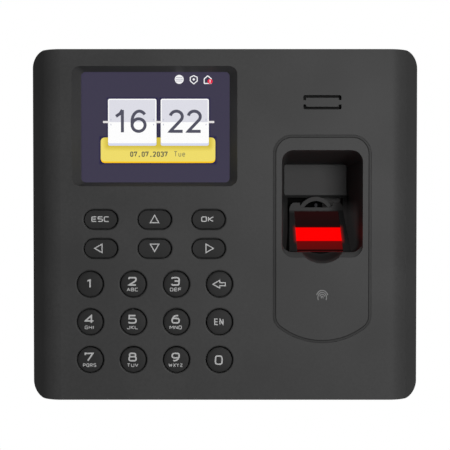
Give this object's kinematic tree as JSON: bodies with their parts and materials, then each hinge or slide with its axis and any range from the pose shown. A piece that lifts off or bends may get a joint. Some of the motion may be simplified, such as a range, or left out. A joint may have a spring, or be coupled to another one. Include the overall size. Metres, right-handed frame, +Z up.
{
  "type": "fingerprint scanner terminal",
  "caption": "Wall-mounted access terminal with a recessed colour screen, a round and pill-shaped keypad, and a deep finger bay holding a sloping red-lit optical prism.",
  "frame": {"origin": "centre of the four wall screw holes, on the wall side of the mounting plate", "axes": "+Y into the wall, -Y is where the front face looks, +Z up, +X to the right seen from the front"},
  "size_m": [0.152, 0.0365, 0.1354],
  "materials": {
    "shell_plastic": "fine moulded texture, satin",
    "key_plastic": "soft matte",
    "pad_plastic": "matte",
    "black_plastic": "satin",
    "window_glass": "polished",
    "lcd_glass": "gloss",
    "prism_glass": "polished, lit red from inside",
    "lens_glass": "polished",
    "detector_lens": "polished",
    "zinc_steel": "zinc plated sheet",
    "screw_steel": "zinc plated",
    "circuit_board": "solder mask",
    "chip_resin": "moulded epoxy",
    "silicone": "matte",
    "foam": "open cell foam",
    "flex_film": "polyimide film",
    "paper_cone": "pressed paper",
    "wire_jacket": "extruded",
    "red_led": "moulded epoxy",
    "label_film": "printed film"
  },
  "bodies": {
    "wall_plate": {"mounting_plate": "zinc_steel", "lock_screw": "screw_steel"},
    "terminal": {"front_shell": "shell_plastic", "rear_cover": "shell_plastic", "lcd_window": "window_glass", "lcd_gasket": "foam", "lcd_panel": "lcd_glass", "lcd_frame": "zinc_steel", "lcd_ribbon": "flex_film", "keypad_mat": "silicone", "key_board": "circuit_board", "main_board": "circuit_board", "main_chips": "chip_resin", "cell_holder": "black_plastic", "backup_cell": "screw_steel", "speaker_mesh": "foam", "speaker_frame": "zinc_steel", "speaker_cone": "paper_cone", "speaker_magnet": "screw_steel", "speaker_wires": "wire_jacket", "fingerprint_bezel": "shell_plastic", "bay_pad": "pad_plastic", "sensor_frame": "black_plastic", "sensor_prism": "prism_glass", "finger_detector": "detector_lens", "sensor_backlight": "red_led", "sensor_housing": "black_plastic", "sensor_lens": "lens_glass", "sensor_board": "circuit_board", "sensor_cable": "flex_film", "usb_port": "screw_steel", "network_port": "black_plastic", "power_jack": "black_plastic", "cover_screws": "screw_steel", "board_screws": "screw_steel", "key_board_screws": "screw_steel", "sensor_screws": "screw_steel", "rating_label": "label_film"},
    "key_esc_cap": {"key_esc": "key_plastic"},
    "key_up_cap": {"key_up": "key_plastic"},
    "key_ok_cap": {"key_ok": "key_plastic"},
    "key_left_cap": {"key_left": "key_plastic"},
    "key_down_cap": {"key_down": "key_plastic"},
    "key_right_cap": {"key_right": "key_plastic"},
    "key_1_cap": {"key_1": "key_plastic"},
    "key_2_cap": {"key_2": "key_plastic"},
    "key_3_cap": {"key_3": "key_plastic"},
    "key_back_cap": {"key_back": "key_plastic"},
    "key_4_cap": {"key_4": "key_plastic"},
    "key_5_cap": {"key_5": "key_plastic"},
    "key_6_cap": {"key_6": "key_plastic"},
    "key_en_cap": {"key_en": "key_plastic"},
    "key_7_cap": {"key_7": "key_plastic"},
    "key_8_cap": {"key_8": "key_plastic"},
    "key_9_cap": {"key_9": "key_plastic"},
    "key_0_cap": {"key_0": "key_plastic"}
  },
  "joints": [
    {"name": "terminal_lift", "type": "slide", "parent": "wall_plate", "child": "terminal", "axis": [0, 0, 1], "range_m": [0, 0.008]},
    {"name": "press_esc", "type": "slide", "parent": "terminal", "child": "key_esc_cap", "axis": [0, 1, 0], "range_m": [0, 0.0008], "stiffness_N_per_m": 1000, "springref_m": -0.0004, "deforming": ["keypad_mat"]},
    {"name": "press_up", "type": "slide", "parent": "terminal", "child": "key_up_cap", "axis": [0, 1, 0], "range_m": [0, 0.0008], "stiffness_N_per_m": 1000, "springref_m": -0.0004, "deforming": ["keypad_mat"]},
    {"name": "press_ok", "type": "slide", "parent": "terminal", "child": "key_ok_cap", "axis": [0, 1, 0], "range_m": [0, 0.0008], "stiffness_N_per_m": 1000, "springref_m": -0.0004, "deforming": ["keypad_mat"]},
    {"name": "press_left", "type": "slide", "parent": "terminal", "child": "key_left_cap", "axis": [0, 1, 0], "range_m": [0, 0.0008], "stiffness_N_per_m": 1000, "springref_m": -0.0004, "deforming": ["keypad_mat"]},
    {"name": "press_down", "type": "slide", "parent": "terminal", "child": "key_down_cap", "axis": [0, 1, 0], "range_m": [0, 0.0008], "stiffness_N_per_m": 1000, "springref_m": -0.0004, "deforming": ["keypad_mat"]},
    {"name": "press_right", "type": "slide", "parent": "terminal", "child": "key_right_cap", "axis": [0, 1, 0], "range_m": [0, 0.0008], "stiffness_N_per_m": 1000, "springref_m": -0.0004, "deforming": ["keypad_mat"]},
    {"name": "press_1", "type": "slide", "parent": "terminal", "child": "key_1_cap", "axis": [0, 1, 0], "range_m": [0, 0.0008], "stiffness_N_per_m": 1000, "springref_m": -0.0004, "deforming": ["keypad_mat"]},
    {"name": "press_2", "type": "slide", "parent": "terminal", "child": "key_2_cap", "axis": [0, 1, 0], "range_m": [0, 0.0008], "stiffness_N_per_m": 1000, "springref_m": -0.0004, "deforming": ["keypad_mat"]},
    {"name": "press_3", "type": "slide", "parent": "terminal", "child": "key_3_cap", "axis": [0, 1, 0], "range_m": [0, 0.0008], "stiffness_N_per_m": 1000, "springref_m": -0.0004, "deforming": ["keypad_mat"]},
    {"name": "press_back", "type": "slide", "parent": "terminal", "child": "key_back_cap", "axis": [0, 1, 0], "range_m": [0, 0.0008], "stiffness_N_per_m": 1000, "springref_m": -0.0004, "deforming": ["keypad_mat"]},
    {"name": "press_4", "type": "slide", "parent": "terminal", "child": "key_4_cap", "axis": [0, 1, 0], "range_m": [0, 0.0008], "stiffness_N_per_m": 1000, "springref_m": -0.0004, "deforming": ["keypad_mat"]},
    {"name": "press_5", "type": "slide", "parent": "terminal", "child": "key_5_cap", "axis": [0, 1, 0], "range_m": [0, 0.0008], "stiffness_N_per_m": 1000, "springref_m": -0.0004, "deforming": ["keypad_mat"]},
    {"name": "press_6", "type": "slide", "parent": "terminal", "child": "key_6_cap", "axis": [0, 1, 0], "range_m": [0, 0.0008], "stiffness_N_per_m": 1000, "springref_m": -0.0004, "deforming": ["keypad_mat"]},
    {"name": "press_en", "type": "slide", "parent": "terminal", "child": "key_en_cap", "axis": [0, 1, 0], "range_m": [0, 0.0008], "stiffness_N_per_m": 1000, "springref_m": -0.0004, "deforming": ["keypad_mat"]},
    {"name": "press_7", "type": "slide", "parent": "terminal", "child": "key_7_cap", "axis": [0, 1, 0], "range_m": [0, 0.0008], "stiffness_N_per_m": 1000, "springref_m": -0.0004, "deforming": ["keypad_mat"]},
    {"name": "press_8", "type": "slide", "parent": "terminal", "child": "key_8_cap", "axis": [0, 1, 0], "range_m": [0, 0.0008], "stiffness_N_per_m": 1000, "springref_m": -0.0004, "deforming": ["keypad_mat"]},
    {"name": "press_9", "type": "slide", "parent": "terminal", "child": "key_9_cap", "axis": [0, 1, 0], "range_m": [0, 0.0008], "stiffness_N_per_m": 1000, "springref_m": -0.0004, "deforming": ["keypad_mat"]},
    {"name": "press_0", "type": "slide", "parent": "terminal", "child": "key_0_cap", "axis": [0, 1, 0], "range_m": [0, 0.0008], "stiffness_N_per_m": 1000, "springref_m": -0.0004, "deforming": ["keypad_mat"]}
  ]
}
